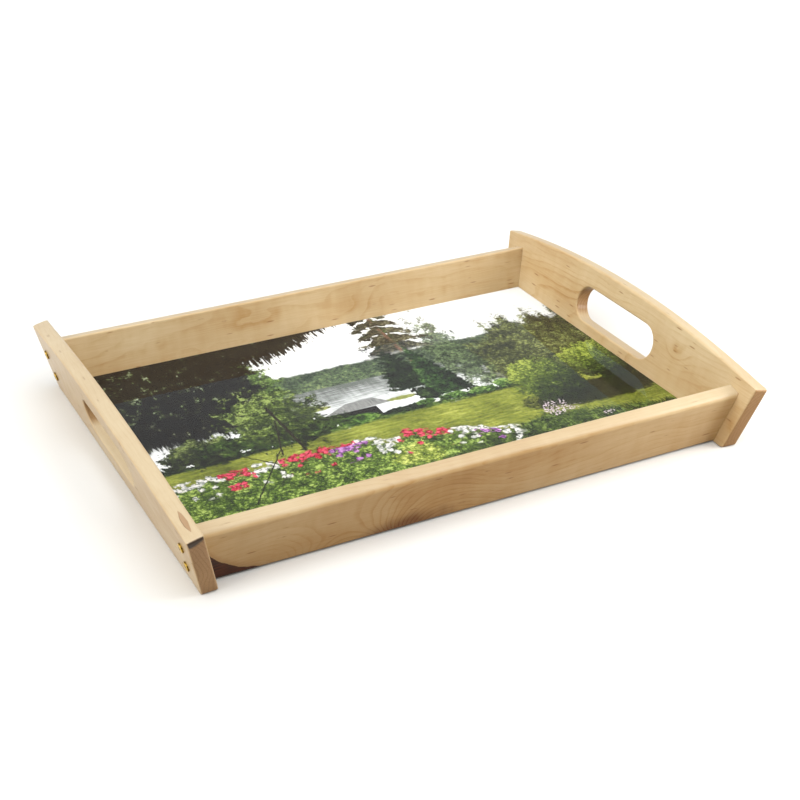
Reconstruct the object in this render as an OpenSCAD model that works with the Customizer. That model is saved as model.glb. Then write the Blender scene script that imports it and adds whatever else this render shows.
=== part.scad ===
// Wooden serving tray: two arched end boards with hand slots, two rails and a picture panel
// that sits in grooves. All four sides lean outward. Brass screws hold the boards to the rails.
// The tray stands on its end boards, centred on the origin, with its length along X.

/* [Tray] */
// Length between the end boards at table level
inner_length = 443; // [380:1:520]
// Width over the two rails at table level
rail_span = 327; // [280:1:360]
// Thickness of the end boards and rails
stock_t = 13.5; // [12:0.5:16]
// Outward lean of all four sides in degrees
splay = 13.5; // [8:0.5:15]

/* [End boards] */
// Length of an end board along its bottom edge
board_foot = 351; // [340:1:380]
// Length of an end board between its top corners
board_top = 383; // [381:1:420]
// Height of the top corners, measured up the board's face
board_corner = 60.5; // [58:0.5:66]
// Height of the arch at its middle, measured up the board's face
board_peak = 76.5; // [74:0.5:90]
// Rounding of the arrises along the arched top
top_round = 3; // [1:0.5:4]
// Rounding of the inner bottom arris
foot_round_in = 4; // [1:0.5:5]
// Rounding of the outer bottom arris
foot_round_out = 1.5; // [0.5:0.5:3]

/* [Hand slots] */
// Overall length of a hand slot
slot_length = 116; // [100:1:140]
// Height of a hand slot
slot_height = 32; // [28:1:34]
// Height of the slot's centre, measured up the board's face
slot_centre = 40; // [38:0.5:42]
// Rounding of the slot's edges
slot_round = 2; // [1:0.5:3]

/* [Rails] */
// Width of a rail's face
rail_width = 48; // [46:1:52]
// Gap between a rail's outer bottom arris and the table
rail_lift = 1.5; // [1:0.5:3]
// Rounding of the outer top arris
rail_round_out = 4.5; // [2:0.5:5]
// Rounding of the inner top arris
rail_round_in = 2; // [1:0.5:3]
// Rounding of both bottom arrises
rail_round_low = 1.5; // [0.5:0.5:2]

/* [Panel] */
// Height of the serving surface above the table
panel_top = 14; // [12:0.5:15]
// Thickness of the base panel
panel_t = 3; // [2.5:0.5:4]
// Thickness of the printed sheet
print_t = 0.3; // [0.2:0.1:0.5]
// Thickness of the clear film over the print
film_t = 0.3; // [0.2:0.1:0.5]
// Depth of the groove that holds the panel
groove_depth = 5; // [4:0.5:6]

/* [Screws] */
// Diameter of a screw's head
head_d = 8; // [7:0.5:9]
// Rise of the head's dome above the board
head_rise = 1.6; // [1:0.1:2]
// Diameter of a screw's shank
shank_d = 3.5; // [3:0.5:4]
// Length of a screw below the board's face
screw_length = 32; // [28:1:40]
// Height of the lower screw, measured up the board's face
screw_low = 21; // [18:0.5:22]
// Height of the upper screw, measured up the board's face
screw_high = 41.5; // [38:0.5:44]

/* [Hidden] */

maple = [0.87, 0.73, 0.52];
maple_rail = [0.84, 0.69, 0.47];
hardboard = [0.52, 0.38, 0.25];
picture = [0.33, 0.45, 0.24];
film_tint = [0.85, 0.9, 0.92, 0.4];
brass = [0.83, 0.66, 0.3];

past = 1;
over = 60;
fine = 96;
arch_fine = 720;
play = 0.2;

half_length = inner_length / 2;
lean = tan(splay);
stock_across = stock_t / cos(splay);

// The arch passes through the two top corners and the peak.
corner_half = board_top / 2;
arch_rise = board_peak - board_corner;
arch_r = (corner_half * corner_half + arch_rise * arch_rise) / (2 * arch_rise);
end_rake = atan((board_top - board_foot) / 2 / board_corner);
ring_depth = arch_rise + board_corner + over;

slot_r = slot_height / 2;
slot_reach = slot_length / 2 - slot_r;

// Half sizes of the space that the grooves leave for the panel, from the inner faces at its top.
stack_t = panel_t + print_t + film_t;
stack_bottom = panel_top - stack_t;
groove_x = half_length + panel_top * lean + groove_depth;
groove_y = rail_span / 2 + panel_top * lean - stock_across + groove_depth;

sink = (head_d - shank_d) / 2;
dome_r = (head_d * head_d / 4 + head_rise * head_rise) / (2 * head_rise);
point_length = 6;
recess_span = 4.2;
recess_w = 0.9;
recess_depth = 1.8;
// Middle of a rail's thickness at table level.
rail_middle = rail_span / 2 - stock_across / 2;

function unit(v) = v / norm(v);
function half_angle(a, b, c) = acos(unit(a - b) * unit(c - b)) / 2;
function cut_back(a, b, c, r) = r / tan(half_angle(a, b, c));
function to_side(a, b, c, r) = b + unit(a - b) * cut_back(a, b, c, r);
function arc_centre(a, b, c, r) = b + unit(unit(a - b) + unit(c - b)) * r / sin(half_angle(a, b, c));

// Outline whose corner i is rounded with radius radii[i]; a radius of 0 leaves it sharp.
module eased_outline(points, radii) {
  n = len(points);
  polygon([
    for (i = [0:n - 1])
      let (a = points[(i + n - 1) % n], b = points[i], c = points[(i + 1) % n], r = radii[i])
        each r == 0 ? [b] : [to_side(a, b, c, r), to_side(c, b, a, r)]
  ]);
  for (i = [0:n - 1]) {
    if (radii[i] > 0) {
      translate(arc_centre(points[(i + n - 1) % n], points[i], points[(i + 1) % n], radii[i]))
        circle(radii[i], $fn = fine);
    }
  }
}

// Puts a shape on the right end board: X out of the outer face, Y along it, Z up the board.
module on_right_board() {
  translate([half_length, 0, 0]) rotate([0, splay, 0]) children();
}

// Puts a shape in the back rail's frame: Y out of its outer face, Z up the rail.
module on_back_rail() {
  translate([0, rail_span / 2 + rail_lift * lean, rail_lift]) rotate([-splay, 0, 0]) children();
}

// Leaning slab with the flat foot and its rounded arrises.
module leaning_slab() {
  tall = board_peak + over;
  rotate([90, 0, 0]) linear_extrude(board_top + over, center = true)
    eased_outline([
      [half_length, 0], [half_length + stock_across, 0],
      [half_length + stock_across + tall * lean, tall], [half_length + tall * lean, tall]
    ], [foot_round_in, foot_round_out, 0, 0]);
}

// Disc whose rim is the arched top with its rounded arrises.
module arch_disc() {
  translate([0, 0, board_peak - arch_r]) rotate([0, 90, 0]) rotate_extrude($fn = arch_fine)
    eased_outline([
      [arch_r - ring_depth, 0], [arch_r, 0], [arch_r, stock_t], [arch_r - ring_depth, stock_t]
    ], [0, top_round, top_round, 0]);
}

// Block that ends at the back end cut, square to the board's face.
module end_cut_block() {
  translate([-past, board_foot / 2, 0]) rotate([-end_rake, 0, 0])
    translate([0, -2 * board_top, -board_top])
      cube([stock_t + 2 * past, 2 * board_top, 2 * board_top]);
}

// Half section of the slot cutter: the slot's radius, flared where its edges are rounded.
module slot_section() {
  difference() {
    translate([0, -past]) square([slot_r + slot_round, stock_t + 2 * past]);
    translate([slot_r, slot_round]) square([slot_round + past, stock_t - 2 * slot_round]);
    translate([slot_r + slot_round, slot_round]) circle(slot_round, $fn = fine);
    translate([slot_r + slot_round, stock_t - slot_round]) circle(slot_round, $fn = fine);
  }
}

// Hand slot with half round ends and rounded edges, cut square through the board.
module slot_cutter() {
  translate([0, 0, slot_centre]) rotate([0, 90, 0]) {
    for (side = [-1, 1]) {
      translate([0, side * slot_reach, 0]) rotate_extrude($fn = fine) slot_section();
    }
    rotate([90, 0, 0]) linear_extrude(2 * slot_reach, center = true) {
      slot_section();
      mirror([1, 0, 0]) slot_section();
    }
  }
}

// Space taken by the panel, the print and the film in the grooves.
module panel_space() {
  translate([-groove_x, -groove_y, stack_bottom]) cube([2 * groove_x, 2 * groove_y, stack_t]);
}

// Puts a shape at both screws of the right board's back corner, with Z out of the board.
module at_back_screws() {
  on_right_board() {
    for (height = [screw_low, screw_high]) {
      translate([stock_t, rail_middle + height * lean, height]) rotate([0, 90, 0]) children();
    }
  }
}

// Raised countersunk wood screw with a cross recess, its head's rim flush with Z = 0.
module screw() {
  difference() {
    union() {
      intersection() {
        translate([0, 0, head_rise - dome_r]) sphere(dome_r, $fn = fine);
        cylinder(h = 2 * head_rise, d = head_d, $fn = fine);
      }
      translate([0, 0, -sink]) cylinder(h = sink, d1 = shank_d, d2 = head_d, $fn = fine);
      translate([0, 0, point_length - screw_length])
        cylinder(h = screw_length - point_length - sink / 2, d = shank_d, $fn = fine);
      translate([0, 0, -screw_length]) cylinder(h = point_length, d1 = 0.4, d2 = shank_d, $fn = fine);
    }
    for (turn = [45, 135]) {
      rotate([0, 0, turn]) translate([-recess_span / 2, -recess_w / 2, head_rise - recess_depth])
        cube([recess_span, recess_w, recess_depth + past]);
    }
  }
}

// Countersunk clearance hole for a screw through the board and pilot hole in the rail.
module screw_hole() {
  translate([0, 0, -sink]) cylinder(h = sink, d1 = shank_d, d2 = head_d, $fn = fine);
  cylinder(h = past, d = head_d, $fn = fine);
  translate([0, 0, -screw_length - past])
    cylinder(h = screw_length + past, d = shank_d + play, $fn = fine);
}

module right_board_shape() {
  difference() {
    intersection() {
      leaning_slab();
      on_right_board() arch_disc();
      on_right_board() end_cut_block();
      mirror([0, 1, 0]) on_right_board() end_cut_block();
    }
    on_right_board() slot_cutter();
    panel_space();
    for (side = [0, 1]) mirror([0, side, 0]) at_back_screws() screw_hole();
  }
}

module back_rail_shape() {
  tall = board_peak + over;
  difference() {
    intersection() {
      on_back_rail() rotate([90, 0, 90]) linear_extrude(inner_length + over, center = true)
        eased_outline([
          [-stock_t, 0], [0, 0], [0, rail_width], [-stock_t, rail_width]
        ], [rail_round_low, rail_round_low, rail_round_out, rail_round_in]);
      rotate([90, 0, 0]) linear_extrude(rail_span + over, center = true)
        polygon([
          [-half_length, 0], [half_length, 0],
          [half_length + tall * lean, tall], [-half_length - tall * lean, tall]
        ]);
    }
    panel_space();
    for (side = [0, 1]) mirror([side, 0, 0]) at_back_screws() screw_hole();
  }
}

module sheet(bottom, thickness) {
  translate([play - groove_x, play - groove_y, bottom])
    cube([2 * (groove_x - play), 2 * (groove_y - play), thickness]);
}

module right_end_board() {
  color(maple) right_board_shape();
}

module left_end_board() {
  color(maple) mirror([1, 0, 0]) right_board_shape();
}

module back_rail() {
  color(maple_rail) back_rail_shape();
}

module front_rail() {
  color(maple_rail) mirror([0, 1, 0]) back_rail_shape();
}

module base_panel() {
  color(hardboard) sheet(stack_bottom, panel_t);
}

module picture_print() {
  color(picture) sheet(stack_bottom + panel_t, print_t);
}

module clear_film() {
  color(film_tint) sheet(panel_top - film_t, film_t);
}

module right_back_screws() {
  color(brass) at_back_screws() screw();
}

module right_front_screws() {
  color(brass) mirror([0, 1, 0]) at_back_screws() screw();
}

module left_back_screws() {
  color(brass) mirror([1, 0, 0]) at_back_screws() screw();
}

module left_front_screws() {
  color(brass) mirror([1, 0, 0]) mirror([0, 1, 0]) at_back_screws() screw();
}

left_end_board();
right_end_board();
front_rail();
back_rail();
base_panel();
picture_print();
clear_film();
left_front_screws();
left_back_screws();
right_front_screws();
right_back_screws();
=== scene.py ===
"""Wooden serving tray with a glossy picture panel, on a pale studio floor."""

import math

import bmesh
import bpy
from mathutils import Matrix, Vector


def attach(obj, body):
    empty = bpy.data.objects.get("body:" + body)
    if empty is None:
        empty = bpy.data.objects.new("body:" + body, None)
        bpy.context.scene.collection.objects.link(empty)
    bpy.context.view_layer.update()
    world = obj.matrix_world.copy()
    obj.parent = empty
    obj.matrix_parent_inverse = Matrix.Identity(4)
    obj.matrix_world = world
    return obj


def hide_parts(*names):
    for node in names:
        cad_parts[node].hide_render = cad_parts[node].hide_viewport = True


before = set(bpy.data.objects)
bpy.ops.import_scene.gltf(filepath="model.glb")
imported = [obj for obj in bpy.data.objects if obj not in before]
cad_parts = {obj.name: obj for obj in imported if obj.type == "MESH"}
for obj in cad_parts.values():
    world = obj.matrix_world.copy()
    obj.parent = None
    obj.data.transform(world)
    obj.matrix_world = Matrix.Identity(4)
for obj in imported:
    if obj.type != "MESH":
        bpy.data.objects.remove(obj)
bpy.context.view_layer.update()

# ---------------------------------------------------------------- sizes, as in the CAD, in metres
MM = 0.001
SPLAY = math.radians(13.5)
LEAN = math.tan(SPLAY)
STOCK = 13.5 * MM
ACROSS = STOCK / math.cos(SPLAY)
HALF_LENGTH = 221.5 * MM
HALF_SPAN = 163.5 * MM

BOARD_FOOT = 175.5 * MM
BOARD_TOP = 191.5 * MM
BOARD_CORNER = 60.5 * MM
BOARD_PEAK = 76.5 * MM
TOP_ROUND = 3 * MM
FOOT_ROUND_IN = 4 * MM
FOOT_ROUND_OUT = 1.5 * MM
END_ROUND = 2 * MM
END_CORNER_ROUND = 2.4 * MM
SLOT_ROUND = 2 * MM
SLOT_CENTRE = 40 * MM
SLOT_R = 16 * MM
SLOT_REACH = 42 * MM

RAIL_WIDTH = 48 * MM
RAIL_LIFT = 1.5 * MM
RAIL_ROUND_OUT = 4.5 * MM
RAIL_ROUND_IN = 2 * MM
RAIL_ROUND_LOW = 1.5 * MM
RAIL_ROUND_END = 0.35 * MM

PANEL_TOP = 14 * MM
FILM_T = 0.3 * MM
PRINT_T = 0.3 * MM
PANEL_T = 3 * MM
GROOVE_DEPTH = 5 * MM
AIR_GAP = 0.03 * MM
PLAY = 0.2 * MM
GROOVE_X = HALF_LENGTH + PANEL_TOP * LEAN + GROOVE_DEPTH
GROOVE_Y = HALF_SPAN + PANEL_TOP * LEAN - ACROSS + GROOVE_DEPTH
STACK_BOTTOM = PANEL_TOP - FILM_T - PRINT_T - PANEL_T

HEAD_D = 8 * MM
HEAD_RISE = 1.6 * MM
SHANK_D = 3.5 * MM
SCREW_LENGTH = 32 * MM
POINT_LENGTH = 6 * MM
SCREW_HEIGHTS = (21 * MM, 41.5 * MM)
SINK = (HEAD_D - SHANK_D) / 2
SHANK_PLAY = 0.1 * MM
HEAD_PLAY = 0.15 * MM
TIP_R = 0.3 * MM
TIP_LENGTH = 0.2 * MM
RIM_T = 0.15 * MM
RIM_TAPER = 0.1 * MM
# Power of the sine and cosine that shape the head: 1 gives an ellipse, less gives a fuller head
FULLNESS = 0.5
RECESS_DEPTH = 2 * MM
# Length and width of a wing of the cross recess
RECESS_TOP = (3.7 * MM, 0.9 * MM)
RECESS_BOTTOM = (2 * MM, 0.7 * MM)
RECESS_CLEARANCE = 0.6 * MM
RAIL_MIDDLE = HALF_SPAN - ACROSS / 2


# ---------------------------------------------------------------- mesh helpers
def new_object(name, mesh):
    obj = bpy.data.objects.new(name, mesh)
    bpy.context.scene.collection.objects.link(obj)
    return obj


def from_bmesh(name, bm):
    bmesh.ops.recalc_face_normals(bm, faces=bm.faces)
    mesh = bpy.data.meshes.new(name)
    bm.to_mesh(mesh)
    bm.free()
    return new_object(name, mesh)


def placed(obj, matrix):
    """Moves the mesh itself, so that the object stays at the origin."""
    obj.data.transform(matrix)
    return obj


def applied(obj):
    """Turns the object's modifiers into its mesh."""
    graph = bpy.context.evaluated_depsgraph_get()
    mesh = bpy.data.meshes.new_from_object(obj.evaluated_get(graph))
    obj.modifiers.clear()
    obj.data = mesh
    return obj


def eased(obj, radii, segments=5):
    """Rounds edges. radii(a, b) gives the radius for the edge between two points, 0 for none."""
    mesh = obj.data
    widest = 5 * MM
    weights = mesh.attributes.new("bevel_weight_edge", "FLOAT", "EDGE")
    for edge in mesh.edges:
        a, b = (mesh.vertices[i].co for i in edge.vertices)
        weights.data[edge.index].value = radii(a, b) / widest
    bevel = obj.modifiers.new("ease", "BEVEL")
    bevel.limit_method = "WEIGHT"
    bevel.width = widest
    bevel.segments = segments
    bevel.use_clamp_overlap = False
    return applied(obj)


def cut(obj, cutters):
    """Takes the cutters away from the object and deletes them."""
    for cutter in cutters:
        boolean = obj.modifiers.new("cut", "BOOLEAN")
        boolean.operation = "DIFFERENCE"
        boolean.solver = "EXACT"
        boolean.object = cutter
    applied(obj)
    for cutter in cutters:
        bpy.data.objects.remove(cutter)
    return obj


def smooth(obj, angle=32):
    """Smooth shading that keeps edges sharper than the angle."""
    mesh = obj.data
    mesh.shade_smooth()
    mesh.set_sharp_from_angle(angle=math.radians(angle))
    normals = obj.modifiers.new("normals", "WEIGHTED_NORMAL")
    normals.keep_sharp = True
    normals.weight = 80
    return obj


def block(name, low, high, matrix=None):
    bm = bmesh.new()
    bmesh.ops.create_cube(bm, size=1)
    size = [h - l for l, h in zip(low, high)]
    middle = [(h + l) / 2 for l, h in zip(low, high)]
    fitted = Matrix.Translation(middle) @ Matrix.Diagonal((*size, 1))
    bmesh.ops.transform(bm, matrix=fitted, verts=bm.verts)
    if matrix is not None:
        bmesh.ops.transform(bm, matrix=matrix, verts=bm.verts)
    return from_bmesh(name, bm)


def lathe(name, profile, steps=48):
    """Closed solid from (radius, height) points that start and end on the axis."""
    bm = bmesh.new()
    rings = []
    for radius, height in profile:
        if radius == 0:
            rings.append([bm.verts.new((0, 0, height))])
        else:
            turns = [2 * math.pi * i / steps for i in range(steps)]
            circle = [(radius * math.cos(t), radius * math.sin(t), height) for t in turns]
            rings.append([bm.verts.new(point) for point in circle])
    for low, high in zip(rings, rings[1:]):
        for i in range(steps):
            j = (i + 1) % steps
            corners = [low[i % len(low)], low[j % len(low)], high[j % len(high)], high[i % len(high)]]
            bm.faces.new(list(dict.fromkeys(corners)))
    return from_bmesh(name, bm)


def panel_space(matrix):
    """The groove's space, seen from a piece that matrix puts in place."""
    low, high = (-GROOVE_X, -GROOVE_Y, STACK_BOTTOM), (GROOVE_X, GROOVE_Y, PANEL_TOP)
    return block("groove", low, high, matrix.inverted())


# ---------------------------------------------------------------- frames of the boards and rails
def board_matrix(side):
    """X out of the board's outer face, Y along it, Z up the face. Side 1 is the right board, -1 the left."""
    turned = Matrix.Rotation(0 if side > 0 else math.pi, 4, "Z")
    return turned @ Matrix.Translation((HALF_LENGTH, 0, 0)) @ Matrix.Rotation(SPLAY, 4, "Y")


def rail_matrix(side):
    """X along the rail, Y out of its outer face, Z up the face. Side 1 is the back rail, -1 the front."""
    turned = Matrix.Rotation(0 if side > 0 else math.pi, 4, "Z")
    foot = Matrix.Translation((0, HALF_SPAN + RAIL_LIFT * LEAN, RAIL_LIFT))
    return turned @ foot @ Matrix.Rotation(-SPLAY, 4, "X")


def screw_places():
    """Where a board's four screws meet its outer face, in the board's frame, with Z out of the board."""
    outward = Matrix.Rotation(math.pi / 2, 4, "Y")
    return [
        Matrix.Translation((STOCK, side * (RAIL_MIDDLE + height * LEAN), height)) @ outward
        for side in (-1, 1)
        for height in SCREW_HEIGHTS
    ]


# ---------------------------------------------------------------- end boards
ARCH_RISE = BOARD_PEAK - BOARD_CORNER
ARCH_R = (BOARD_TOP**2 + ARCH_RISE**2) / (2 * ARCH_RISE)
SPREAD = (BOARD_TOP - BOARD_FOOT) / BOARD_CORNER
# Points along the foot, the right end, the arch and the left end
SECTION_STEPS = (56, 12, 64, 12)
# Where the rings of faces between the slot and the outline lie, from 0 at the slot to 1 at the outline
RING_SHARES = (0, 0.3, 0.65, 1)


def outline(bottom):
    """Points round a board's outline, as (along, up), from its low left corner and anticlockwise."""
    low = BOARD_FOOT + SPREAD * bottom

    def arch(t):
        along = BOARD_TOP * (1 - 2 * t)
        return along, BOARD_PEAK - ARCH_R + math.sqrt(ARCH_R**2 - along**2)

    def end(t):
        up = bottom + (BOARD_CORNER - bottom) * t
        return BOARD_FOOT + SPREAD * up, up

    sections = (
        lambda t: (low * (2 * t - 1), bottom),
        end,
        arch,
        lambda t: (-end(1 - t)[0], end(1 - t)[1]),
    )
    return [f(i / n) for f, n in zip(sections, SECTION_STEPS) for i in range(n)]


def slot_outline():
    """Points round the hand slot, in step with the points of outline."""
    quarter = math.pi / 4 * SLOT_R
    straight = 2 * SLOT_REACH

    def long_side(sign):
        def at(t):
            s = t * (2 * quarter + straight)
            if s < quarter:
                a = math.pi / 4 - s / SLOT_R
                return -SLOT_REACH - SLOT_R * math.sin(a), -SLOT_R * math.cos(a)
            if s > quarter + straight:
                a = (s - quarter - straight) / SLOT_R
                return SLOT_REACH + SLOT_R * math.sin(a), -SLOT_R * math.cos(a)
            return s - quarter - SLOT_REACH, -SLOT_R

        return lambda t: (sign * at(t)[0], SLOT_CENTRE + sign * at(t)[1])

    def short_side(sign):
        def at(t):
            a = (t - 0.5) * math.pi / 2
            return sign * (SLOT_REACH + SLOT_R * math.cos(a)), SLOT_CENTRE + sign * SLOT_R * math.sin(a)

        return at

    sections = (long_side(1), short_side(1), long_side(-1), short_side(-1))
    return [f(i / n) for f, n in zip(sections, SECTION_STEPS) for i in range(n)]


def end_board(name, side):
    matrix = board_matrix(side)
    slot = slot_outline()
    bm = bmesh.new()
    faces = []
    for depth, bottom in ((0, 0), (STOCK, STOCK * LEAN)):
        pairs = [(Vector((depth, *s)), Vector((depth, *r))) for s, r in zip(slot, outline(bottom))]
        faces.append([[bm.verts.new(s.lerp(r, share)) for s, r in pairs] for share in RING_SHARES])
    count = len(slot)
    for i in range(count):
        j = (i + 1) % count
        for rings in faces:
            for low, high in zip(rings, rings[1:]):
                bm.faces.new((low[i], low[j], high[j], high[i]))
        for ring in (0, -1):
            inner, outer = faces[0][ring], faces[1][ring]
            bm.faces.new((inner[i], inner[j], outer[j], outer[i]))
    obj = from_bmesh(name, bm)

    near = 0.01 * MM

    def on_slot(p):
        return abs(math.hypot(max(abs(p.y) - SLOT_REACH, 0), p.z - SLOT_CENTRE) - SLOT_R) < near

    def on_arch(p):
        return abs(math.hypot(p.y, p.z - BOARD_PEAK + ARCH_R) - ARCH_R) < near

    def on_end(p):
        return abs(abs(p.y) - BOARD_FOOT - SPREAD * p.z) < near

    def on_foot(p):
        return abs(p.z - p.x * LEAN) < near

    def radii(a, b):
        def both(test):
            return test(a) and test(b)

        if abs(a.x - b.x) > STOCK / 2:
            return END_CORNER_ROUND if both(on_end) and (both(on_arch) or both(on_foot)) else 0
        if both(on_slot):
            return SLOT_ROUND
        if both(on_foot):
            return FOOT_ROUND_OUT if a.x > STOCK / 2 else FOOT_ROUND_IN
        if both(on_arch):
            return TOP_ROUND
        return END_ROUND if both(on_end) else 0

    eased(obj, radii)
    holes = [screw_hole(place) for place in screw_places()]
    cut(obj, [panel_space(matrix), *holes])
    return smooth(placed(obj, matrix))


# ---------------------------------------------------------------- rails
def rail(name, side):
    matrix = rail_matrix(side)
    steps = 40
    bm = bmesh.new()
    corners = ((-STOCK, 0), (0, 0), (0, RAIL_WIDTH), (-STOCK, RAIL_WIDTH))
    heights = [(matrix @ Vector((0, y, z))).z for y, z in corners]
    rings = []
    for i in range(steps + 1):
        t = 2 * i / steps - 1
        section = [(t * (HALF_LENGTH + h * LEAN), y, z) for (y, z), h in zip(corners, heights)]
        rings.append([bm.verts.new(point) for point in section])
    for low, high in zip(rings, rings[1:]):
        for i in range(4):
            j = (i + 1) % 4
            bm.faces.new((low[i], low[j], high[j], high[i]))
    bm.faces.new(rings[0])
    bm.faces.new(rings[-1])
    obj = from_bmesh(name, bm)
    rounds = (RAIL_ROUND_LOW, RAIL_ROUND_LOW, RAIL_ROUND_OUT, RAIL_ROUND_IN)
    near = 0.001 * MM

    def corner_of(p):
        return next(i for i, (y, z) in enumerate(corners) if math.hypot(p.y - y, p.z - z) < near)

    def radii(a, b):
        if corner_of(a) == corner_of(b):
            return rounds[corner_of(a)]
        at_end = min(abs(a.x), abs(b.x)) > HALF_LENGTH - near and a.x * b.x > 0
        return RAIL_ROUND_END if at_end and abs(a.x - b.x) < RAIL_WIDTH * LEAN + near else 0

    eased(obj, radii)
    cut(obj, [panel_space(matrix)])
    return smooth(placed(obj, matrix))


# ---------------------------------------------------------------- screws
def screw_hole(matrix):
    """Cutter for a screw's hole, turned a little so that its corners miss the edges of the board's faces."""
    shank, head = SHANK_D / 2 + SHANK_PLAY, HEAD_D / 2 + HEAD_PLAY
    above = 3 * MM
    profile = [(0, -SCREW_LENGTH), (shank, -SCREW_LENGTH), (shank, -SINK)]
    profile += [(head, 0), (head, above), (0, above)]
    return placed(lathe("hole", profile, steps=36), matrix @ Matrix.Rotation(0.07, 4, "Z"))


def screw(matrix, turn):
    """Countersunk screw with a full, rounded head and a cross recess."""
    shank, head = SHANK_D / 2, HEAD_D / 2
    profile = [(0, -SCREW_LENGTH), (TIP_R, TIP_LENGTH - SCREW_LENGTH), (shank, POINT_LENGTH - SCREW_LENGTH)]
    profile += [(shank, -SINK), (head - RIM_TAPER, -RIM_T), (head, 0)]
    steps = 14
    angles = [math.pi / 2 * i / steps for i in range(1, steps)]
    profile += [(head * math.cos(a) ** FULLNESS, HEAD_RISE * math.sin(a) ** FULLNESS) for a in angles]
    profile.append((0, HEAD_RISE))
    obj = lathe("screw", profile)
    cutters = []
    for quarter in (0, 1):
        wing = block("wing", (-0.5, -0.5, 0), (0.5, 0.5, 1))
        for v in wing.data.vertices:
            top = v.co.z > 0.5
            length, width = RECESS_TOP if top else RECESS_BOTTOM
            v.co.x *= length
            v.co.y *= width
            v.co.z = HEAD_RISE + (RECESS_CLEARANCE if top else -RECESS_DEPTH)
        wing.data.transform(Matrix.Rotation(turn + quarter * math.pi / 2, 4, "Z"))
        cutters.append(wing)
    return placed(cut(obj, cutters), matrix)


def joined(name, objs):
    """One object from several, with their meshes as they are."""
    bm = bmesh.new()
    for obj in objs:
        bm.from_mesh(obj.data)
        bpy.data.objects.remove(obj)
    return from_bmesh(name, bm)


# ---------------------------------------------------------------- panel, print and film
def sheet(name, bottom, thickness):
    low = (PLAY - GROOVE_X, PLAY - GROOVE_Y, bottom)
    high = (GROOVE_X - PLAY, GROOVE_Y - PLAY, bottom + thickness)
    return block(name, low, high)


left_board = end_board("left_board", -1)
right_board = end_board("right_board", 1)
front = rail("front_side", -1)
back = rail("back_side", 1)
core = sheet("core_panel", STACK_BOTTOM, PANEL_T)
picture = sheet("printed_sheet", STACK_BOTTOM + PANEL_T, PRINT_T - AIR_GAP)
film = sheet("gloss_film", PANEL_TOP - FILM_T, FILM_T)

# How far each screw's recess is turned, in radians
turns = iter((0.3, 1.1, 0.75, 0.1, 0.55, 1.3, 0.9, 0.2))
screws = {}
for side, board_name in ((-1, "left"), (1, "right")):
    places = screw_places()
    # The left board's frame is turned round, so its first pair is at the back.
    names = ("front", "back") if side > 0 else ("back", "front")
    for pair, corner in enumerate(names):
        parts = [screw(board_matrix(side) @ places[2 * pair + i], next(turns)) for i in (0, 1)]
        key = f"{board_name}_{corner}_screws"
        screws[key] = smooth(joined(f"{board_name}_{corner}_brass", parts), 28)


# ---------------------------------------------------------------- arithmetic with shader nodes
def add_node(tree, kind, inputs, **settings):
    """New shader node. An input, by name or number, is a Signal or a plain value."""
    node = tree.nodes.new("ShaderNode" + kind)
    for key, value in settings.items():
        setattr(node, key, value)
    for key, value in inputs.items():
        if isinstance(value, Signal):
            tree.links.new(value.socket, node.inputs[key])
        else:
            node.inputs[key].default_value = value
    return node


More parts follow.
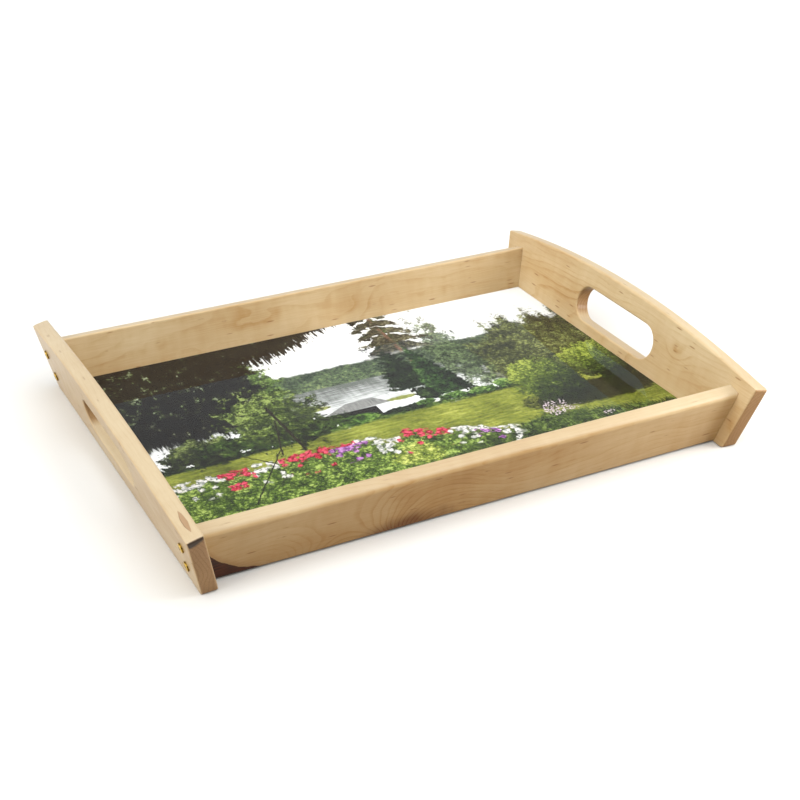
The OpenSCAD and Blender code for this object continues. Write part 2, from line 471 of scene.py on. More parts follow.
class Signal:
    """A number, vector or colour inside a node tree. Operators on it add the nodes that work them out."""

    def __init__(self, tree, socket):
        self.tree = tree
        self.socket = socket

    def math(self, operation, *others):
        node = add_node(self.tree, "Math", dict(enumerate((self, *others))), operation=operation)
        return Signal(self.tree, node.outputs[0])

    def __add__(self, other):
        return self.math("ADD", other)

    def __sub__(self, other):
        return self.math("SUBTRACT", other)

    def __rsub__(self, other):
        return self.math("MULTIPLY_ADD", -1, other)

    def __mul__(self, other):
        return self.math("MULTIPLY", other)

    def __truediv__(self, other):
        return self.math("DIVIDE", other)

    def __abs__(self):
        return self.math("ABSOLUTE")

    __radd__ = __add__
    __rmul__ = __mul__

    def least(self, other):
        return self.math("MINIMUM", other)

    def most(self, other):
        return self.math("MAXIMUM", other)

    def rise(self, low, high):
        """0 below low and 1 above high, smooth between. Falls if low is the greater."""
        inputs = {"Value": self, "From Min": low, "From Max": high}
        node = add_node(self.tree, "MapRange", inputs, interpolation_type="SMOOTHSTEP")
        return Signal(self.tree, node.outputs[0])

    def within(self, low, high, soft):
        """1 between low and high, 0 outside."""
        return self.rise(low - soft, low + soft) * self.rise(high + soft, high - soft)

    def vector(self, operation, *others, **inputs):
        inputs.update(enumerate((self, *others)))
        return add_node(self.tree, "VectorMath", inputs, operation=operation)

    def moved(self, *offset):
        return Signal(self.tree, self.vector("SUBTRACT", offset).outputs["Vector"])

    def plus(self, other):
        return Signal(self.tree, self.vector("ADD", other).outputs["Vector"])

    def stretched(self, *factors):
        return Signal(self.tree, self.vector("MULTIPLY", factors).outputs["Vector"])

    def length(self):
        return Signal(self.tree, self.vector("LENGTH").outputs["Value"])

    def along_axis(self, axis):
        """How far a normal lies along an axis, either way, from 0 to 1."""
        return abs(Signal(self.tree, self.vector("DOT_PRODUCT", tuple(axis)).outputs["Value"]))

    def parts(self):
        node = add_node(self.tree, "SeparateXYZ", {0: self})
        return [Signal(self.tree, out) for out in node.outputs]

    def noise(self, size, detail=2.0, flat=False, **inputs):
        """Three independent noises about 0, with features about size apart."""
        inputs.update({"Vector": self, "Scale": 1 / size, "Detail": detail})
        node = add_node(self.tree, "TexNoise", inputs, noise_dimensions="2D" if flat else "3D")
        return Signal(self.tree, node.outputs["Color"]).moved(0.5, 0.5, 0.5)

    def cells(self, size, flat=False, **inputs):
        """Distance from the middle of each cell, in cells, and a random colour for the cell."""
        inputs.update({"Vector": self, "Scale": 1 / size})
        node = add_node(self.tree, "TexVoronoi", inputs, voronoi_dimensions="2D" if flat else "3D")
        return Signal(self.tree, node.outputs["Distance"]), Signal(self.tree, node.outputs["Color"])

    def over(self, mask, colour):
        """This colour with another laid over it where the mask is 1."""
        inputs = {0: mask, 6: self, 7: colour}
        node = add_node(self.tree, "Mix", inputs, data_type="RGBA")
        return Signal(self.tree, node.outputs[2])

    def ramp(self, *stops):
        """Colour from (place, colour) stops."""
        node = add_node(self.tree, "ValToRGB", {0: self})
        marks = node.color_ramp.elements
        while len(marks) < len(stops):
            marks.new(0.5)
        for mark, (place, colour) in zip(marks, stops):
            mark.position = place
            mark.color = colour
        return Signal(self.tree, node.outputs[0])


def combined(x, y, z=0.0):
    node = add_node(x.tree, "CombineXYZ", {0: x, 1: y, 2: z})
    return Signal(x.tree, node.outputs[0])


def surface_normal(tree):
    return Signal(tree, tree.nodes.new("ShaderNodeNewGeometry").outputs["Normal"])


def rgb(red, green, blue):
    """Linear colour from the usual 0 to 255 numbers."""

    def linear(c):
        return ((c / 255 + 0.055) / 1.055) ** 2.4 if c > 10 else c / 255 / 12.92

    return linear(red), linear(green), linear(blue), 1


def new_material(name, matrix=None, **numbers):
    """A material with its shader, and the place on the piece in millimetres, in the matrix's frame."""
    material = bpy.data.materials.new(name)
    material.use_nodes = True
    tree = material.node_tree
    shader = tree.nodes["Principled BSDF"]
    for key, value in numbers.items():
        shader.inputs[key.replace("_", " ")].default_value = value
    matrix = matrix or Matrix()
    coords = Signal(tree, tree.nodes.new("ShaderNodeTexCoord").outputs["Object"])
    inputs = {"Vector": coords, "Location": matrix.translation, "Rotation": matrix.to_euler()}
    place = add_node(tree, "Mapping", {**inputs, "Scale": (MM, MM, MM)}, vector_type="TEXTURE")
    return material, shader, Signal(tree, place.outputs[0])


def finish_with(shader, colour, roughness=None, height=None):
    """Links colour, roughness and a relief, whose height is in millimetres, to the shader."""
    tree = colour.tree
    tree.links.new(colour.socket, shader.inputs["Base Color"])
    if roughness is not None:
        tree.links.new(roughness.socket, shader.inputs["Roughness"])
    if height is not None:
        bump = add_node(tree, "Bump", {"Height": height * MM, "Distance": 1.0, "Strength": 1.0})
        tree.links.new(bump.outputs[0], shader.inputs["Normal"])


# ---------------------------------------------------------------- maple
CREAM = rgb(212, 190, 150)
TAN = rgb(180, 143, 92)
FIGURE = rgb(138, 92, 46)
HEARTWOOD = rgb(92, 42, 10)
HEART_RIM = rgb(34, 12, 2)
# Lengths on the wood are in millimetres. This is the growth of a year.
RING_GAP = 3.1
# The heartwood's corner: where it starts along the rail, how far it runs and how high it gets
HEART_START, HEART_RUN, HEART_HEIGHT = 178, 46, 23


def maple(
    name, frame_matrix, seed, tone, pith,
    swirls=(), contrast=1.0, edge_knots=(), fan=None, heart=False, coat=0.2,
):
    """Lacquered maple. The frame has X along the grain, Y through the stock and Z up the face.

    Lengths are in millimetres. tone goes from 0, cream, to 1, brown. pith is how far the middle of the tree
    lies through and up from the piece. A swirl is (along, up, reach along, reach up, lift) and bends the
    growth rings, whose lines contrast deepens there. A fan is (along, up, reach, middle, turn): its lines
    spread from that place, where middle is the ring straight above it and turn is the growth in a radian.
    An edge knot is (along, through, half length, half width) on the top edge and stains the end cut beside
    it. heart adds a corner of dark heartwood, a brown patch at the foot of the fan, a warmer middle and
    painted light that makes the end away from the heartwood paler. coat is the lacquer's weight.
    """
    material, shader, place = new_material(
        name, frame_matrix, Coat_Weight=coat, Coat_Roughness=0.16, Coat_IOR=1.5, Specular_IOR_Level=0.3
    )
    tree = place.tree
    along, through, up = place.parts()
    seeded = place.plus((seed * 700, seed * 90, seed * 130))
    wander_a, wander_b, broad = seeded.stretched(1 / 3, 1, 1).noise(45, 2).parts()
    curl, patch, gloss_drift = seeded.stretched(1.6, 0.5, 0.5).noise(16, 2).parts()
    fibre, fine_fibre, _ = seeded.stretched(0.03, 1, 1).noise(0.9, 3).parts()

    lift = wander_a * 16
    figure = None
    for s_along, s_up, reach_along, reach_up, height in swirls:
        away = combined((along - s_along) / reach_along, (up - s_up) / reach_up).length()
        bulge = away.rise(1.6, 0)
        lift = lift + bulge * height
        figure = bulge if figure is None else figure.most(bulge)
    from_pith = combined(through - pith[0] + along * 0.035 + wander_b * 12, up - pith[1] + along * 0.02)
    rings = from_pith.length() + lift
    if fan:
        f_along, f_up, reach, middle, turn = fan
        from_root, above_root = along - f_along, up - f_up
        figure = combined(from_root / reach, above_root / reach).length().rise(1.2, 0.1)
        spokes = (above_root.math("ARCTAN2", from_root) - math.pi / 2) * turn + middle
        rings = rings + figure * (spokes + lift * 0.6 - rings)
    ring = (rings + curl * 0.9) / RING_GAP
    year = ring.math("FRACT")
    line = year.rise(0.55, 0.93) * year.rise(1.0, 0.95)
    ring_tone = combined(ring.math("FLOOR"), seed, 0).noise(1.3, 0).parts()[0]

    warmth = broad * 0.75 + tone + fibre * 0.28 + fine_fibre * 0.1 + curl * 0.2 + ring_tone * 0.14
    warmth = warmth + line * (patch * 0.32 + 0.07)
    if figure is not None:
        warmth = warmth + figure * (line * 0.2 * contrast + 0.05)
    if heart:
        # Paler towards the end away from the heartwood: painted light, as if that end were lit more. Warmer
        # through the middle: the wood's own tone.
        warmth = warmth - along.rise(-50, -180) * 0.14 + along.within(-30, 130, 40) * 0.1

    normal = surface_normal(tree)
    grain_axis, _, face_axis = frame_matrix.to_3x3().col
    end_grain = normal.along_axis(grain_axis).rise(0.45, 0.9)
    colour = warmth.ramp((0.0, CREAM), (0.55, TAN), (1.0, FIGURE))

    fleck_gap, fleck_shade = seeded.stretched(0.16, 1, 1).cells(3.4)
    fleck_shade = fleck_shade.parts()[0]
    fleck = fleck_gap.rise(0.25, 0.1) * (fleck_shade + patch * 0.7).rise(0.7, 0.84)
    colour = colour.over(fleck * 0.7, FIGURE)
    pores, _ = seeded.stretched(0.25, 1, 1).cells(0.6)
    end_tone = line * 0.22 + pores.rise(0.5, 0.1) * 0.2 + 0.35 + broad * 0.6 + fibre * 0.5
    colour = colour.over(end_grain * 0.85, end_tone.ramp((0.0, rgb(178, 138, 90)), (1.0, rgb(106, 68, 36))))
    # Paler, less yellow colour on faces that turn up or down the piece, chiefly the top edges: a painted
    # sheen, the lacquer's glare where the light falls on them.
    colour = colour.over(normal.along_axis(face_axis).rise(0.55, 0.95) * 0.5, rgb(189, 173, 146))

    for k_along, k_through, half_length, half_width in edge_knots:
        lens = 1 - ((along - k_along) / half_length).math("POWER", 2)
        inside = lens * half_width - abs(through - k_through + curl * 1.6)
        inside = inside.least((up - 52) * 0.5)
        colour = colour.over(inside.rise(-0.15, 0.35) * 0.65, rgb(146, 102, 62))
        rim = inside.within(0.0, 0.4, 0.25) * (through - k_through + 1).rise(1, -1)
        colour = colour.over(rim * 0.7, rgb(92, 58, 34))
        stain = (up - 55 - (through + 9) * 0.25 + curl * 16 + patch * 8).rise(-1.5, 2.5)
        colour = colour.over(stain * end_grain * along.rise(150, 160) * 0.95, rgb(38, 22, 8))
    if heart:
        reach = ((along - HEART_START) / HEART_RUN).most(0).math("POWER", 1.7)
        edge = reach * HEART_HEIGHT - up + wander_b * 8 + curl * 4 + fibre * 1.5 - 0.5
        edge = edge - along.rise(HEART_START, HEART_START - 18) * 24
        grain = (fibre * 1.8 + line * 0.3 + patch * 0.8 + 0.4).ramp((0.0, HEART_RIM), (1.0, HEARTWOOD))
        colour = colour.over(edge.rise(-0.5, 0.6), grain)
        colour = colour.over(edge.within(-0.2, 1.0, 0.5) * 0.7, rgb(66, 28, 8))
        colour = colour.over(edge.rise(-7, -1) * edge.rise(0, -1) * 0.3, FIGURE)
        low_patch = combined((along - 70) / 38, (up + 3 - (80 - along) * 0.1) / 15).length()
        low_patch = (low_patch + curl * 0.8 + patch * 0.5).rise(1.25, 0.4)
        colour = colour.over(low_patch * (line * 0.2 + 0.78), rgb(106, 61, 22))

    roughness = gloss_drift * 0.14 + fibre * 0.1 + end_grain * 0.14 + 0.4
    height = fibre * 0.02 + curl * 0.03 - line * 0.006 - fleck * 0.02
    finish_with(shader, colour, roughness, height)
    return material


# ---------------------------------------------------------------- the printed picture
def lakeside(name):
    """An invented garden by a lake, drawn in layers from the sky down to the flower bed."""
    material, shader, place = new_material(name, Roughness=0.6, Specular_IOR_Level=0.1)
    u, v, _ = place.parts()
    big_a, big_b, big_c = place.noise(44, 3, True).parts()
    mid_a, mid_b, mid_c = place.plus((300, 0, 0)).noise(12, 3, True, Roughness=0.6).parts()
    fine_a, fine_b, fine_c = place.plus((0, 300, 0)).noise(2.6, 3, True, Roughness=0.7).parts()
    bent = place.plus(combined(mid_b * 5, mid_c * 5))
    leaf_gap, leaf_tint = bent.cells(2.3, True)
    _, clump_tint = bent.cells(7.5, True)
    leaf_a, leaf_b, _ = leaf_tint.parts()
    clump_a = clump_tint.parts()[0]
    rough_edge = mid_a * 1.3 + fine_a * 0.9
    leafage = leaf_a * 0.55 + clump_a * 0.26 + mid_c * 1.1 + fine_c * 0.7 - leaf_gap * 0.5 - 0.08

    def ellipse(x, y, rx, ry):
        """1 in the middle, 0 on the outline, less outside."""
        return 1 - place.moved(x, y, 0).stretched(1 / rx, 1 / ry, 0).length()

    def leafy(shape, amount=0.9, soft=0.05):
        """Mask of a shape with a leafy outline."""
        return (shape + rough_edge * amount).rise(-soft, soft)

    def foliage(light, *stops):
        """Leaf colours, where light is a shape's own shading."""
        return (light + leafage).ramp(*stops)

    def dome(light, *stops):
        """Leaf colours with more of the shape's shading and less of the leaves' own."""
        return (light + leafage * 0.55).ramp(*stops)

    # Sky, wooded far shore and lake
    picture = (big_a * 0.9 + v / 500 + 0.35).ramp((0.0, rgb(206, 209, 210)), (0.5, rgb(226, 225, 222)))
    ridge = combined(u / 60, 0).noise(1, 3, True).parts()[0] * 16
    treetops = combined(u / 5, 0).noise(1, 2, True).parts()[0] * 5
    hill = ridge + treetops + 77 + big_b * 6 - v
    forest = foliage(
        0.3 - (v - 62) / 110 + mid_a * 0.4,
        (0, rgb(56, 66, 54)), (0.4, rgb(88, 100, 80)), (0.75, rgb(112, 126, 92)), (1, rgb(142, 152, 112)),
    )
    picture = picture.over(hill.rise(-1.6, 2.6), forest)
    ripple = combined(u / 26, v / 1.5).noise(1, 3, True).parts()[0]
    reflected = combined(u / 5, v / 30).noise(1, 2, True).parts()[0]
    water = (ripple * 1.1 - (v - 12) / 46 + 0.62 + reflected * (v / 55)).ramp(
        (0.0, rgb(116, 119, 114)), (0.45, rgb(166, 168, 165)), (0.85, rgb(214, 214, 212))
    )
    picture = picture.over((44 + mid_a * 3 - v).rise(-0.5, 0.5), water)

    # Trees on the right shore
    tops = combined(u / 16, 0).noise(1, 2, True).parts()[0]
    right_wood = (u - 104).rise(0, 60) * 34 + 64 + tops * 60 + fine_a * 46 + mid_b * 46 - v
    wood_light = foliage(
        0.3 + big_b * 0.7,
        (0.0, rgb(34, 34, 20)), (0.4, rgb(74, 78, 46)), (0.7, rgb(108, 112, 66)), (1.0, rgb(152, 156, 102)),
    )
    picture = picture.over((right_wood / 10).rise(-0.6, 1.6) * (u + mid_a * 30).rise(92, 112), wood_light)
    birch = leafy(ellipse(93, 50, 19, 68), 1.5, 0.25)
    birch_light = foliage(0.25, (0, rgb(42, 50, 36)), (0.5, rgb(92, 106, 74)), (1, rgb(140, 152, 112)))
    picture = picture.over(birch * 0.92, birch_light)

    # Tall pine, two dark spruces beside it
    off = abs(u - 56 - (v - 100) * 0.03)
    storey = ((v + off * 0.35 + mid_b * 16) / 17).math("FRACT")
    crown = v.rise(160, 90) * 14 + 19 + mid_a * 44 + big_b * 24 - off - storey.rise(0.4, 1) * 20
    pine = (crown / 6 + fine_a * 2.8 + fine_b * 1.4).rise(-0.4, 0.7) * v.rise(70, 84)
    needles = foliage(0.26, (0.0, rgb(40, 38, 34)), (0.5, rgb(88, 86, 68)), (1.0, rgb(146, 142, 114)))
    picture = picture.over(pine, needles)
    trunk = off.rise(2.2, 1.2) * v.rise(48, 52)
    trunk_light = (fine_a + 0.5).ramp((0.2, rgb(78, 58, 48)), (0.8, rgb(150, 116, 98)))
    picture = picture.over(trunk * (0.5 + mid_b + mid_c).rise(0.38, 0.62), trunk_light)

    def spruce(x, top, foot, half, wild):
        from_trunk = abs(u - x)
        tier = ((v * -1 + from_trunk * 0.8 + mid_b * 6) / 9).math("FRACT")
        skirt = (top - v).rise(0, top - foot) * half * 1.3 + (top - v).rise(-2, 14) * half * 0.35
        inside = (skirt - from_trunk) / 5 + tier * wild - wild * 0.4 + rough_edge * (0.8 + wild)
        return inside.rise(-0.3, 0.3) * (v + fine_a * 8).rise(foot - 1, foot + 1)

    dark_green = foliage(0.12, (0.0, rgb(18, 24, 16)), (0.5, rgb(44, 58, 36)), (1.0, rgb(92, 110, 66)))
    picture = picture.over(spruce(38, 88, 10, 15, 1.6), dark_green)
    cone_light = 0.2 - (u - 60) / 60
    cone_green = foliage(cone_light, (0.0, rgb(20, 30, 18)), (0.5, rgb(52, 74, 42)), (1.0, rgb(96, 122, 72)))
    picture = picture.over(spruce(60, 84, -12, 12, 0.5), cone_green)

    # Near shore: reeds, hut, low shrubs and lawn
    reeds = leafy(ellipse(-62, 11, 15, 3.4), 0.6).most(leafy(ellipse(14, -1, 17, 3), 0.6))
    picture = picture.over(reeds, (fine_b + 0.5).ramp((0.2, rgb(110, 120, 62)), (0.8, rgb(172, 174, 110))))
    lawn_edge = mid_a * 5 - 27 - u.rise(20, -190) * 8 - v
    shore = leafy((lawn_edge + 14) / 16 - u.rise(-30, 0) * u.rise(50, 20) * 0.5, 1.5)
    beside_hut = (u + mid_b * 40).rise(-40, -60).most((u + mid_b * 20).rise(42, 60))
    picture = picture.over(shore * beside_hut, dark_green)

    verge = leafy(ellipse(-6, -25, 74, 7), 0.6)
    verge_light = foliage(0.3, (0.0, rgb(48, 62, 30)), (0.5, rgb(92, 112, 54)), (1.0, rgb(140, 156, 86)))
    picture = picture.over(verge, verge_light)

    wall = (v + 19).least((u + 58) * 1.2).least((-4 - v) * 1.0).least((-12 - u) * 1.2)
    boards = (fine_a * 0.8 + 0.4).ramp((0.2, rgb(22, 22, 22)), (0.9, rgb(64, 58, 54)))
    picture = picture.over(wall.rise(-0.4, 0.4), boards)
    slope = (10 - v + (u + 26) * 0.02).least(v + 4.5 - (u + 54) * 0.02 - abs(u + 34) * 0.02)
    slope = slope.least((u + 60) * 0.9 - (v + 4) * 1.7).least((6 - u) * 0.8 - (v + 6) * 0.7)
    courses = combined(u / 1.2, v / 9).noise(1, 2, True).parts()[0] + 0.5
    tiles = courses.ramp((0.2, rgb(116, 117, 115)), (0.8, rgb(162, 161, 157)))
    picture = picture.over(slope.rise(-0.4, 0.4), tiles)
    hut_shrub = foliage(0.3, (0, rgb(34, 48, 26)), (0.5, rgb(78, 108, 50)), (1, rgb(134, 160, 84)))
    picture = picture.over(leafy(ellipse(-38, -19, 22, 8), 0.8), hut_shrub)
    for x, y, rx, ry in ((36, -4, 10, 12), (10, -20, 24, 5)):
        picture = picture.over(leafy(ellipse(x, y, rx, ry), 1.1), dark_green)

    grass = combined(u / 14, v / 2.6).noise(1, 3, True).parts()[0]
    lawn = (grass * 0.9 + big_c * 1.1 + fine_b * 0.8 + 0.5 - u.rise(0, -160) * 0.06).ramp(
        (0, rgb(84, 88, 38)), (0.4, rgb(122, 128, 54)), (0.75, rgb(150, 154, 76)), (1, rgb(178, 178, 104))
    )
    picture = picture.over((lawn_edge / 3 + fine_a * 1.5).rise(-0.6, 0.6), lawn)
    for x, y, rx, ry in ((57, -17, 13, 6), (84, -19, 15, 6), (30, -17, 9, 5), (106, -16, 9, 9)):
        light = 0.3 + (v - y) / 22
        low_shrub = foliage(light, (0, rgb(36, 50, 26)), (0.5, rgb(88, 116, 60)), (1, rgb(150, 172, 104)))
        picture = picture.over(leafy(ellipse(x, y, rx, ry), 0.5), low_shrub)

    # Round shrubs on the right, with their shade
    shade = leafy(ellipse(178, -62, 76, 19), 0.5, 0.15)
    gloom = (fine_a * 0.8 + mid_a + 0.4).ramp((0.2, rgb(20, 24, 14)), (0.9, rgb(52, 56, 30)))
    picture = picture.over(shade * 0.94, gloom)
    for x, y, rx, ry in ((212, -16, 42, 36), (144, -28, 34, 42)):
        shape = ellipse(x, y, rx, ry)
        lit = (v - y) / ry * 0.42 - (u - x) / rx * 0.2 + 0.36 + fine_b * 0.7 + fine_c * 0.4
        greens = dome(
            lit,
            (0, rgb(26, 32, 18)), (0.35, rgb(58, 70, 34)), (0.65, rgb(96, 110, 48)), (1, rgb(166, 174, 90)),
        )
        picture = picture.over(leafy(shape, 0.6), greens)

    # Hanging spruce boughs that fill the upper left
    hanging = combined(u / 2.2, v / 17).noise(1, 3, True).parts()[0]
    fall = (u * -1 + 46).rise(0, 118) * 48 + hanging * 42 + mid_a * 18 - 8
    bough = ((fall + v - 153) / 5 + fine_a * 2).rise(-0.4, 0.5) * u.rise(48, 30)
    mass = ((-84 - u + mid_b * 46 + hanging * 22) / 8 + fine_b * 2.6).rise(-0.5, 0.6)
    mass = mass * (v + hanging * 26).rise(2, 10)
    picture = picture.over(
        leafy(ellipse(-94, 66, 24, 66), 1.1, 0.1),
        foliage(0.34, (0.0, rgb(38, 44, 24)), (0.5, rgb(92, 112, 58)), (1.0, rgb(150, 168, 100))),
    )
    bark = (leaf_b * 0.3 + hanging * 0.7 + mid_c * 1.5 + fine_c * 0.7 + 0.2).ramp(
        (0.0, rgb(9, 8, 6)), (0.5, rgb(24, 21, 17)), (0.75, rgb(48, 46, 34)), (1.0, rgb(150, 154, 128))
    )
    glimpse = (mid_c * 1.6 + fine_b * 1.5 + hanging * 0.6 - (u + 150) / 600).rise(0.3, 0.5) * v.rise(30, 70)
    beyond = foliage(0.3, (0.0, rgb(60, 70, 44)), (0.6, rgb(118, 132, 90)), (1.0, rgb(186, 192, 170)))
    picture = picture.over(mass.most(bough), bark.over(glimpse * 0.85, beyond))

    # Shrub and a small broad-leaved tree on the left
    bush = leafy(ellipse(-172, -14, 36, 22), 0.7)
    bush_light = 0.2 + (v + 14) / 70
    picture = picture.over(
        bush, foliage(bush_light, (0.0, rgb(20, 24, 14)), (0.5, rgb(66, 74, 42)), (1.0, rgb(136, 146, 92)))
    )
    picture = picture.over(
        leafy(ellipse(-104, -14, 66, 17), 0.8),
        foliage(0.16, (0.0, rgb(26, 34, 18)), (0.5, rgb(72, 92, 42)), (1.0, rgb(128, 150, 82))),
    )
    stem = (abs(u + 97 + mid_a * 3 + (v - 20) * 0.03).rise(1.9, 1.0) * v.within(-46, 34, 1)).most(
        abs(u + 108 - (v + 20) * 0.3 + mid_b * 3).rise(1.2, 0.5) * v.within(-45, 10, 1)
    )
    crown = leafy(ellipse(-97, 12, 41, 46), 1.4, 0.06)
    crown_light = 0.3 + (v - 12) / 160 - (u + 97) / 240
    crown_green = foliage(
        crown_light,
        (0.0, rgb(26, 32, 16)), (0.4, rgb(66, 78, 36)), (0.7, rgb(102, 116, 58)), (1.0, rgb(156, 168, 104)),
    )
    picture = picture.over(crown * 0.97, crown_green)
    picture = picture.over(stem, rgb(44, 34, 26))

    # Flower bed along the near side
    bed = -55 + (u + 30).rise(-14, 0) * (u + 30).rise(22, 8) * -9 - (u + 12).most(0) * 0.4 + big_a * 8
    herbs = foliage(
        0.43 + mid_b * 0.3 - u.rise(10, 90) * 0.16,
        (0, rgb(34, 44, 22)), (0.4, rgb(72, 90, 36)), (0.72, rgb(110, 130, 58)), (1, rgb(168, 182, 108)),
    )
    herb_edge = ((bed - v - 2) / 4 + rough_edge * 1.6).rise(-0.4, 0.4)
    picture = picture.over(herb_edge * (u + mid_a * 20).rise(112, 84), herbs)
    stalks = combined(u / 1.6, v / 12).noise(1, 2, True).parts()[0]
    picture = picture.over(
        ((-84 - v) / 8 + stalks * 2.6 - abs(u - 112) / 34 + 0.6).rise(-0.2, 0.3),
        foliage(0.24 + stalks, (0.0, rgb(34, 44, 20)), (0.5, rgb(76, 92, 42)), (1.0, rgb(128, 142, 78))),
    )
    picture = picture.over(
        leafy(ellipse(-18, -92, 23, 14), 1.5, 0.15),
        foliage(0.34, (0.0, rgb(66, 82, 32)), (0.5, rgb(130, 142, 62)), (1.0, rgb(200, 202, 128))),
    )

    petal_gap, petal_tint = place.plus(combined(fine_b * 4, fine_c * 4)).cells(5.4, True)
    pick, pick_b, _ = petal_tint.parts()
    shine = place.cells(1.9, True)[1].parts()[0] * 0.9 + 0.35 - petal_gap * 0.8 + fine_b * 0.6
    white = shine.ramp((0.0, rgb(96, 104, 92)), (0.4, rgb(168, 169, 164)), (0.8, rgb(214, 210, 206)))
    red = shine.ramp((0.0, rgb(96, 14, 30)), (0.4, rgb(164, 34, 62)), (0.9, rgb(206, 98, 118)))
    purple = shine.ramp((0.0, rgb(88, 46, 98)), (0.5, rgb(146, 92, 152)), (1.0, rgb(194, 154, 194)))
    reds = u.within(-172, -148, 4).most(u.within(-122, -58, 6)).most(u.within(-20, 22, 6))
    reds = (reds * 0.62 + pick * 0.5).rise(0.5, 0.52)
    purples = u.within(-80, -46, 4).most(u.within(42, 60, 3)) * (bed - v + 6).rise(3, 7)
    purples = (purples + pick_b * 0.3).rise(0.5, 0.55)
    blooms = white.over(reds, red).over(purples, purple)
    in_bed = (5.5 - abs(v - bed - mid_b * 12)).rise(-1.5, 0.5)
    strays = (13 - abs(v - bed + 12)).rise(-2, 2) * pick_b.rise(0.78, 0.8)
    where = in_bed.most(strays) * (u + mid_a * 16).rise(82, 72)
    picture = picture.over(where * (petal_gap + fine_a * 0.35).rise(0.62, 0.5), blooms)
    pale = leafy(ellipse(124, -76, 12, 10) + mid_b * 3, 1.5).most(leafy(ellipse(160, -101, 5, 3), 0.6))
    pale_light = (leaf_a * 0.6 + 0.4).ramp((0.2, rgb(146, 128, 134)), (0.9, rgb(202, 190, 196)))
    picture = picture.over(pale * (leaf_gap + fine_b * 0.8).rise(0.42, 0.3), pale_light)

    bow = mid_a * 5
    twig = abs(u + 138 + bow - (v + 70) * 0.72).rise(1.0, 0.45) * v.within(-104, -36, 1)
    spur = abs(u + 132 + bow + (v + 48) * 0.9).rise(0.9, 0.4) * v.within(-56, -34, 1)
    picture = picture.over(twig.most(spur), rgb(38, 34, 26))

    # Ink on the top face only, paper on the sheet's edges
    top = surface_normal(place.tree).parts()[2].rise(0.4, 0.6)
    paper = combined(fine_a * 0.02 + 0.8, fine_a * 0.02 + 0.79, fine_a * 0.02 + 0.76)
    inked = Signal(place.tree, add_node(place.tree, "Gamma", {0: picture, 1: 1.3}).outputs[0])
    finish_with(shader, paper.over(top, inked), height=fine_b * 0.004)
    return material


# ---------------------------------------------------------------- hardboard, film, brass and floor
def hardboard(name):
    material, shader, place = new_material(name, Roughness=0.8)
    fibres = place.stretched(1, 0.5, 1).noise(1.4, 4).parts()[0]
    drift = place.noise(30, 2).parts()[0]
    u, v, _ = place.parts()
    weave = (u * 2 * math.pi / 1.6).math("SINE") * (v * 2 * math.pi / 1.6).math("SINE")
    colour = (fibres * 1.6 + drift * 0.5 + weave * 0.12 + 0.5).ramp(
        (0.0, rgb(70, 46, 28)), (0.5, rgb(112, 78, 50)), (1.0, rgb(152, 114, 78))
    )
    finish_with(shader, colour, fibres * 0.2 + 0.78, weave * 0.05 + fibres * 0.05)
    return material


def clear_gloss(name):
    material, shader, place = new_material(name, Transmission_Weight=1.0, IOR=1.15)
    smear, hazed, _ = place.noise(26, 3, True).parts()
    tint = (smear * 0.2 + 0.9).ramp((0.0, rgb(250, 250, 250)), (1.0, rgb(255, 255, 255)))
    finish_with(shader, tint, hazed * 0.02 + 0.02)
    return material


def polished_brass(name):
    material, shader, place = new_material(name, Metallic=1.0)
    wear, tarnish, _ = place.noise(1.1, 4).parts()
    brush = place.stretched(1, 1, 6).noise(0.5, 2).parts()[0]
    across, _, upward = surface_normal(place.tree).parts()
    # Darker where the head's surface turns away from straight out of the board, on the cross recess's walls
    # and round the head's rim: painted shade.
    outward = abs(across) * math.cos(SPLAY) - upward * math.sin(SPLAY)
    colour = (tarnish * 0.5 + wear * 0.3 + outward.rise(0.82, 0.5) * 0.7 + 0.12).ramp(
        (0.0, rgb(240, 212, 120)), (0.4, rgb(206, 166, 68)), (1.0, rgb(70, 44, 12))
    )
    finish_with(shader, colour, wear * 0.25 + 0.24, brush * 0.006 + wear * 0.004)
    return material


def pale_floor(name):
    """Pale floor that passes on little light, so that the faces turned down to it stay in shade."""
    material, shader, place = new_material(name)
    mottle = place.noise(60, 3, True).parts()[0]
    seen = (mottle * 0.5 + 0.5).ramp((0.0, rgb(223, 221, 217)), (1.0, rgb(227, 225, 221)))
    path = place.tree.nodes.new("ShaderNodeLightPath").outputs
    bounced = Signal(place.tree, path["Is Diffuse Ray"]) + Signal(place.tree, path["Is Glossy Ray"]) * 0.3
    finish_with(shader, seen.over(bounced, rgb(146, 124, 94)), mottle * 0.1 + 0.8)
    return material


# ---------------------------------------------------------------- materials on the pieces
TURN = Matrix.Rotation(math.pi / 2, 4, "Z")
coverings = {
    left_board: maple(
        "maple_left", board_matrix(-1) @ TURN, seed=1, tone=0.2, pith=(-60, 30),
        edge_knots=[(170.5, -6, 12.5, 2.1)], coat=0.5,
    ),
    right_board: maple(
        "maple_right", board_matrix(1) @ TURN, seed=2, tone=0.26, pith=(-48, 20),
        swirls=[(-90, 49, 16, 9, 5), (84, 40, 60, 26, -3)], contrast=0.6,
    ),
    front: maple(
        "maple_front", rail_matrix(-1), seed=3, tone=0.36, pith=(42, 60),
        contrast=0.6, fan=(78, -34, 104, 56, 42), heart=True, coat=0.08,
    ),
    back: maple(
        "maple_back", rail_matrix(1), seed=4, tone=0.27, pith=(55, 16),
        swirls=[(-62, 29, 34, 13, 3), (41, 25, 28, 12, 3)], contrast=0.5,
    ),
    core: hardboard("hardboard"),
    picture: lakeside("printed_picture"),
    film: clear_gloss("gloss_film"),
}
brass = polished_brass("brass")
coverings.update({piece: brass for piece in screws.values()})
for piece, material in coverings.items():
    piece.data.materials.append(material)
film.visible_shadow = False

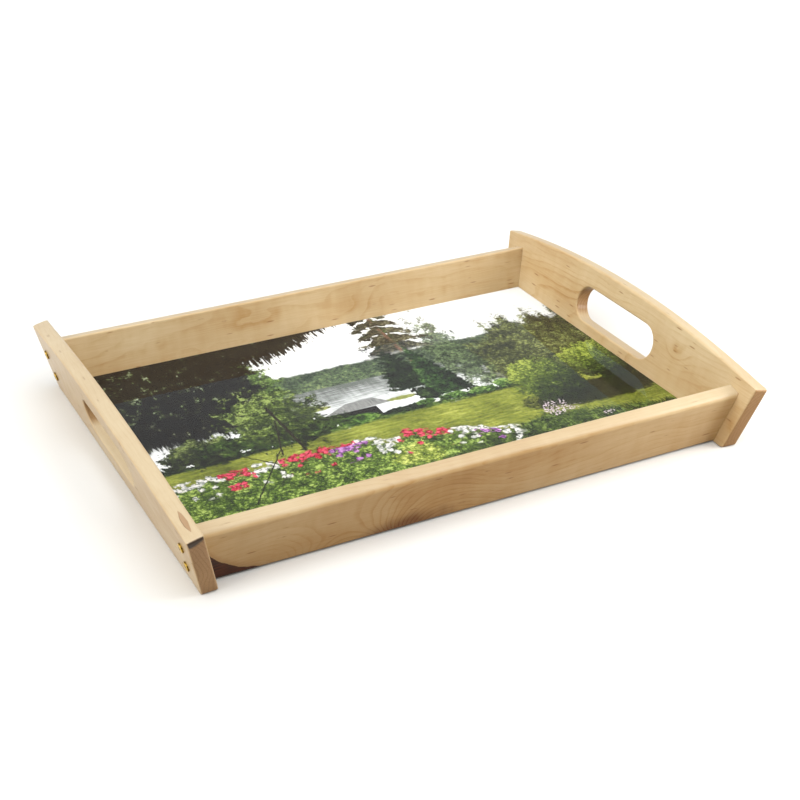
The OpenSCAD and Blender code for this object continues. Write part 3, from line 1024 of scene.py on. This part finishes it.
stands_for = {
    "left_end_board": (left_board, "board_wood"),
    "right_end_board": (right_board, "board_wood"),
    "front_rail": (front, "rail_wood"),
    "back_rail": (back, "rail_wood"),
    "base_panel": (core, "panel_core"),
    "picture_print": (picture, "print"),
    "clear_film": (film, "film"),
}
stands_for.update({node: (piece, "screw_brass") for node, piece in screws.items()})
for node, (piece, slot) in stands_for.items():
    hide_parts(node)
    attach(piece, "root")

# ---------------------------------------------------------------- floor, lights and camera
bm = bmesh.new()
FLOOR_HALF = 6
bmesh.ops.create_grid(bm, x_segments=1, y_segments=1, size=FLOOR_HALF)
floor = from_bmesh("floor", bm)
floor.data.materials.append(pale_floor("pale_floor"))

world = bpy.data.worlds.new("room")
bpy.context.scene.world = world
world.use_nodes = True
sky = world.node_tree
ambient = sky.nodes["Background"]
direction = Signal(sky, sky.nodes.new("ShaderNodeTexCoord").outputs["Generated"])
behind = direction.parts()[1].rise(-0.4, 0.5)
dusk_to_day = behind.ramp((0.0, (0.1, 0.085, 0.06, 1)), (1.0, (0.66, 0.66, 0.66, 1)))
sky.links.new(dusk_to_day.socket, ambient.inputs["Color"])
backdrop = add_node(sky, "Background", {"Color": (1, 1, 1, 1), "Strength": 1.0})
direct = sky.nodes.new("ShaderNodeLightPath").outputs["Is Camera Ray"]
mixed = add_node(sky, "MixShader", {})
sky.links.new(direct, mixed.inputs[0])
sky.links.new(ambient.outputs[0], mixed.inputs[1])
sky.links.new(backdrop.outputs[0], mixed.inputs[2])
sky.links.new(mixed.outputs[0], sky.nodes["World Output"].inputs["Surface"])


def toward(azimuth, elevation):
    """Direction at an azimuth, clockwise from +Y, and an elevation, in radians."""
    level = math.cos(elevation)
    return Vector((math.sin(azimuth) * level, math.cos(azimuth) * level, math.sin(elevation)))


def soft_light(name, azimuth, elevation, spread, strength):
    """Wide, far light from an azimuth and an elevation. Angles are in degrees."""
    light = bpy.data.lights.new(name, "SUN")
    light.angle = math.radians(spread)
    light.energy = strength
    light.color = (0.95, 0.98, 1.0)
    obj = new_object(name, light)
    source = toward(math.radians(azimuth), math.radians(elevation))
    obj.rotation_euler = source.to_track_quat("Z", "Y").to_euler()
    return obj


soft_light("overhead", 184, 75, 80, 2.95)
soft_light("left_window", -94, 24, 46, 1.9)

panel_light = bpy.data.lights.new("right_window", "AREA")
panel_light.size = 0.35
panel_light.energy = 4.6
panel_lamp = new_object("right_window", panel_light)
panel_lamp.location = (0.68, -0.5, 0.34)
panel_lamp.visible_camera = False
panel_lamp.rotation_euler = panel_lamp.location.to_track_quat("Z", "Y").to_euler()

# The camera stands AZIMUTH to the side of the tray's front, turned ROLL about its line of sight
AZIMUTH, ELEVATION, ROLL = math.radians(-27.758), math.radians(28.337), math.radians(0.584)
DISTANCE = 1.27337
AIM = Vector((0.00744, -0.0107, 0.01755))
back_axis = toward(math.pi - AZIMUTH, ELEVATION)
right_axis = Vector((math.cos(AZIMUTH), math.sin(AZIMUTH), 0))
up_axis = back_axis.cross(right_axis)
turned_right = math.cos(ROLL) * right_axis + math.sin(ROLL) * up_axis
turned_up = back_axis.cross(turned_right)
camera_data = bpy.data.cameras.new("camera")
camera_data.sensor_width = 36
camera_data.lens = 67.6
camera_data.clip_start = 0.05
camera = new_object("camera", camera_data)
pose = Matrix((turned_right, turned_up, back_axis)).transposed().to_4x4()
pose.translation = AIM + back_axis * DISTANCE
camera.matrix_world = pose
bpy.context.scene.camera = camera
bpy.context.scene.view_settings.view_transform = "Standard"
